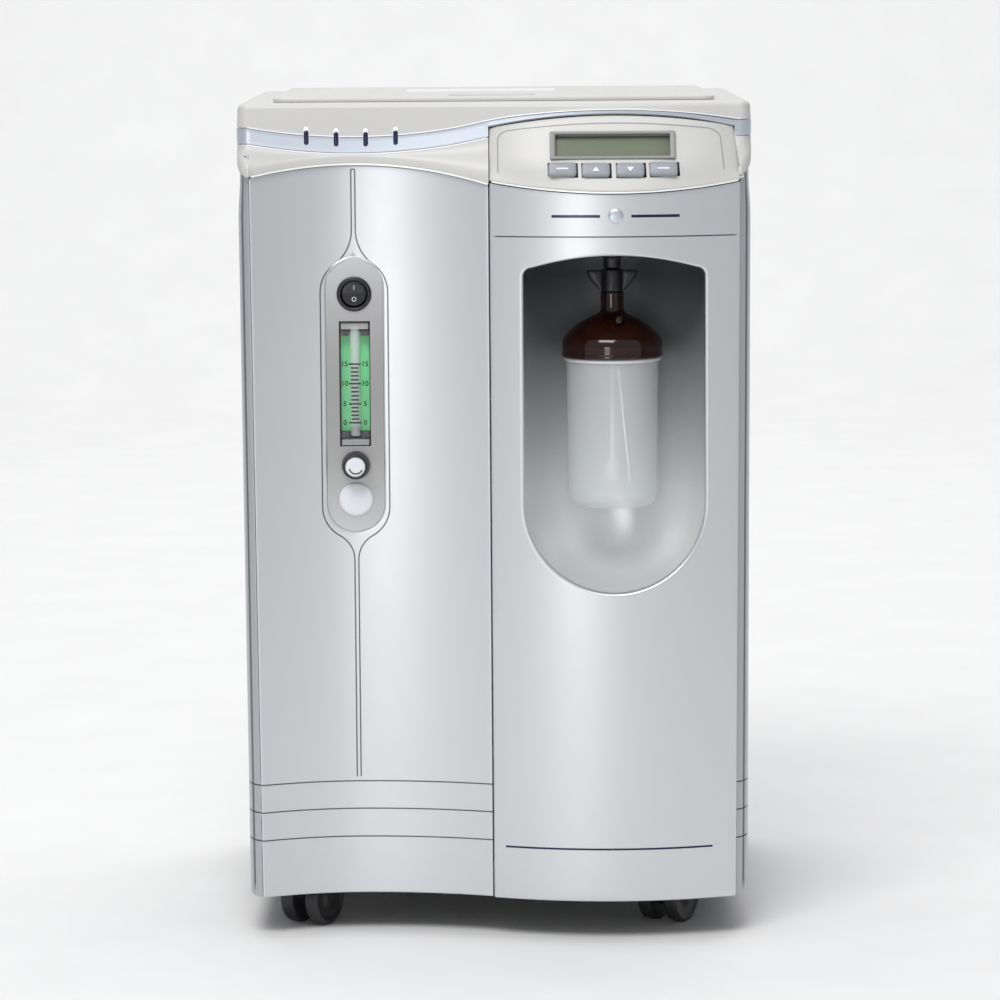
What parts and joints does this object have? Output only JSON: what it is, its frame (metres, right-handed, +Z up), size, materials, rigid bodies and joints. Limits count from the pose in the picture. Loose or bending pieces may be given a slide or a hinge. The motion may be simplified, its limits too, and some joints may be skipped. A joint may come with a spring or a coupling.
{
  "type": "oxygen concentrator",
  "caption": "Stationary oxygen concentrator cabinet with an S-curved front, a humidifier in a window niche, flowmeter, display console and casters.",
  "frame": {"origin": "On the floor under the centre of the cabinet's plan.", "axes": "+Z up, front faces -Y, +X to the right for someone who looks at the front."},
  "size_m": [0.365, 0.375, 0.6],
  "materials": {
    "front_panel": "satin metallic silver paint",
    "cap_beige": "fine matte champagne silver",
    "accent_band": "satin blue-silver",
    "side_panel": "satin silver-grey",
    "rear_panel": "satin grey",
    "insert": "satin beige-grey",
    "niche": "smooth satin grey",
    "black_plastic": "glossy black",
    "chassis": "black powder coat",
    "key_grey": "satin grey",
    "screen": "olive-grey LCD glass",
    "lamp": "dark tinted light pipe",
    "clear_plastic": "clear acrylic",
    "scale_green": "printed green",
    "white_plastic": "satin white",
    "bottle": "frosted translucent polypropylene",
    "bottle_lid": "glossy dark brown",
    "foam": "open-cell foam",
    "wheel": "black wheel",
    "aluminium": "cast and drawn",
    "steel": "zinc-plated",
    "copper": "drawn copper tube",
    "board": "green solder mask"
  },
  "bodies": {
    "cabinet": {"left_front_panel": "front_panel", "right_front_panel": "front_panel", "left_side_panel": "side_panel", "right_side_panel": "side_panel", "rear_panel": "rear_panel", "top_cover": "cap_beige", "accent_band": "accent_band", "indicator_light_pipes": "lamp", "display_console": "cap_beige", "lcd_bezel": "key_grey", "lcd_screen": "screen", "control_insert": "insert", "switch_housing": "black_plastic", "flowmeter_block": "clear_plastic", "flowmeter_scale": "scale_green", "port_cap": "white_plastic", "humidifier_niche": "niche", "outlet_spigot": "black_plastic", "humidifier_lid": "bottle_lid", "dip_tube": "bottle", "intake_filter": "foam", "power_inlet": "black_plastic", "base_tray": "chassis", "compressor_cradle": "steel", "compressor_body": "aluminium", "compressor_head_left": "aluminium", "compressor_head_right": "aluminium", "sieve_bed_front": "aluminium", "sieve_bed_rear": "aluminium", "valve_block": "aluminium", "product_tank": "white_plastic", "exhaust_muffler": "white_plastic", "cooling_coil": "copper", "fan_shelf": "white_plastic", "control_board": "board"},
    "caster_front_left": {"caster_front_left_yoke": "black_plastic"},
    "caster_front_left_wheel_left": {"caster_front_left_wheel_left": "wheel"},
    "caster_front_left_wheel_right": {"caster_front_left_wheel_right": "wheel"},
    "caster_front_right": {"caster_front_right_yoke": "black_plastic"},
    "caster_front_right_wheel_left": {"caster_front_right_wheel_left": "wheel"},
    "caster_front_right_wheel_right": {"caster_front_right_wheel_right": "wheel"},
    "caster_rear_left": {"caster_rear_left_yoke": "black_plastic"},
    "caster_rear_left_wheel_left": {"caster_rear_left_wheel_left": "wheel"},
    "caster_rear_left_wheel_right": {"caster_rear_left_wheel_right": "wheel"},
    "caster_rear_right": {"caster_rear_right_yoke": "black_plastic"},
    "caster_rear_right_wheel_left": {"caster_rear_right_wheel_left": "wheel"},
    "caster_rear_right_wheel_right": {"caster_rear_right_wheel_right": "wheel"},
    "key_mode": {"button_mode": "key_grey"},
    "key_up": {"button_up": "key_grey"},
    "key_down": {"button_down": "key_grey"},
    "key_enter": {"button_enter": "key_grey"},
    "rocker": {"power_rocker": "black_plastic"},
    "knob": {"flow_knob": "black_plastic"},
    "float": {"flow_float": "black_plastic"},
    "nut": {"wing_nut": "black_plastic"},
    "bottle": {"humidifier_bottle": "bottle"},
    "lid": {"top_lid": "cap_beige"},
    "door": {"filter_door": "rear_panel"},
    "breaker": {"breaker_button": "black_plastic"},
    "fan": {"fan_rotor": "black_plastic"}
  },
  "joints": [
    {"name": "caster_front_left_swivel", "type": "hinge", "parent": "cabinet", "child": "caster_front_left", "pos_m": [-0.13, -0.105, 0.05], "axis": [0, 0, 1], "continuous": true},
    {"name": "caster_front_left_left_roll", "type": "hinge", "parent": "caster_front_left", "child": "caster_front_left_wheel_left", "pos_m": [-0.1365, -0.11626, 0.02], "axis": [0.866, -0.5, 0], "continuous": true},
    {"name": "caster_front_left_right_roll", "type": "hinge", "parent": "caster_front_left", "child": "caster_front_left_wheel_right", "pos_m": [-0.1365, -0.11626, 0.02], "axis": [0.866, -0.5, 0], "continuous": true},
    {"name": "caster_front_right_swivel", "type": "hinge", "parent": "cabinet", "child": "caster_front_right", "pos_m": [0.13, -0.105, 0.05], "axis": [0, 0, 1], "continuous": true},
    {"name": "caster_front_right_left_roll", "type": "hinge", "parent": "caster_front_right", "child": "caster_front_right_wheel_left", "pos_m": [0.1235, -0.11626, 0.02], "axis": [0.866, -0.5, 0], "continuous": true},
    {"name": "caster_front_right_right_roll", "type": "hinge", "parent": "caster_front_right", "child": "caster_front_right_wheel_right", "pos_m": [0.1235, -0.11626, 0.02], "axis": [0.866, -0.5, 0], "continuous": true},
    {"name": "caster_rear_left_swivel", "type": "hinge", "parent": "cabinet", "child": "caster_rear_left", "pos_m": [-0.13, 0.14, 0.05], "axis": [0, 0, 1], "continuous": true},
    {"name": "caster_rear_left_left_roll", "type": "hinge", "parent": "caster_rear_left", "child": "caster_rear_left_wheel_left", "pos_m": [-0.1365, 0.12874, 0.02], "axis": [0.866, -0.5, 0], "continuous": true},
    {"name": "caster_rear_left_right_roll", "type": "hinge", "parent": "caster_rear_left", "child": "caster_rear_left_wheel_right", "pos_m": [-0.1365, 0.12874, 0.02], "axis": [0.866, -0.5, 0], "continuous": true},
    {"name": "caster_rear_right_swivel", "type": "hinge", "parent": "cabinet", "child": "caster_rear_right", "pos_m": [0.13, 0.14, 0.05], "axis": [0, 0, 1], "continuous": true},
    {"name": "caster_rear_right_left_roll", "type": "hinge", "parent": "caster_rear_right", "child": "caster_rear_right_wheel_left", "pos_m": [0.1235, 0.12874, 0.02], "axis": [0.866, -0.5, 0], "continuous": true},
    {"name": "caster_rear_right_right_roll", "type": "hinge", "parent": "caster_rear_right", "child": "caster_rear_right_wheel_right", "pos_m": [0.1235, 0.12874, 0.02], "axis": [0.866, -0.5, 0], "continuous": true},
    {"name": "key_mode_press", "type": "slide", "parent": "cabinet", "child": "key_mode", "axis": [0, 0.899, -0.438], "range_m": [0, 0.0015], "stiffness_N_per_m": 600, "springref_m": -0.0005},
    {"name": "key_up_press", "type": "slide", "parent": "cabinet", "child": "key_up", "axis": [0, 0.899, -0.438], "range_m": [0, 0.0015], "stiffness_N_per_m": 600, "springref_m": -0.0005},
    {"name": "key_down_press", "type": "slide", "parent": "cabinet", "child": "key_down", "axis": [0, 0.899, -0.438], "range_m": [0, 0.0015], "stiffness_N_per_m": 600, "springref_m": -0.0005},
    {"name": "key_enter_press", "type": "slide", "parent": "cabinet", "child": "key_enter", "axis": [0, 0.899, -0.438], "range_m": [0, 0.0015], "stiffness_N_per_m": 600, "springref_m": -0.0005},
    {"name": "power_rocker_tip", "type": "hinge", "parent": "cabinet", "child": "rocker", "pos_m": [-0.1003, -0.1419, 0.4619], "axis": [1, 0, 0], "range_deg": [0, 10]},
    {"name": "flow_knob_turn", "type": "hinge", "parent": "cabinet", "child": "knob", "pos_m": [-0.1003, -0.1479, 0.3395], "axis": [0, -1, 0], "range_deg": [0, 720]},
    {"name": "flow_float_rise", "type": "slide", "parent": "cabinet", "child": "float", "axis": [0, 0, 1], "range_m": [0, 0.0481]},
    {"name": "wing_nut_turn", "type": "hinge", "parent": "cabinet", "child": "nut", "pos_m": [0.0838, -0.126, 0.468], "axis": [0, 0, -1], "range_deg": [0, 1080]},
    {"name": "bottle_unscrew", "type": "hinge", "parent": "cabinet", "child": "bottle", "pos_m": [0.0838, -0.126, 0.36], "axis": [0, 0, -1], "range_deg": [0, 450]},
    {"name": "top_lid_open", "type": "hinge", "parent": "cabinet", "child": "lid", "pos_m": [0, 0.167, 0.599], "axis": [-1, 0, 0], "range_deg": [0, 95]},
    {"name": "filter_door_open", "type": "hinge", "parent": "cabinet", "child": "door", "pos_m": [-0.065, 0.1867, 0.42], "axis": [0, 0, 1], "range_deg": [0, 110]},
    {"name": "breaker_reset", "type": "slide", "parent": "cabinet", "child": "breaker", "axis": [0, -1, 0], "range_m": [0, 0.003], "stiffness_N_per_m": 800, "springref_m": -0.0005},
    {"name": "fan_spin", "type": "hinge", "parent": "cabinet", "child": "fan", "pos_m": [0.01, 0.02, 0.288], "axis": [0, 0, 1], "continuous": true}
  ],
  "couplings": [
    {"joint": "flow_float_rise", "follows": "flow_knob_turn", "m_per_rad": 0.0038197}
  ]
}
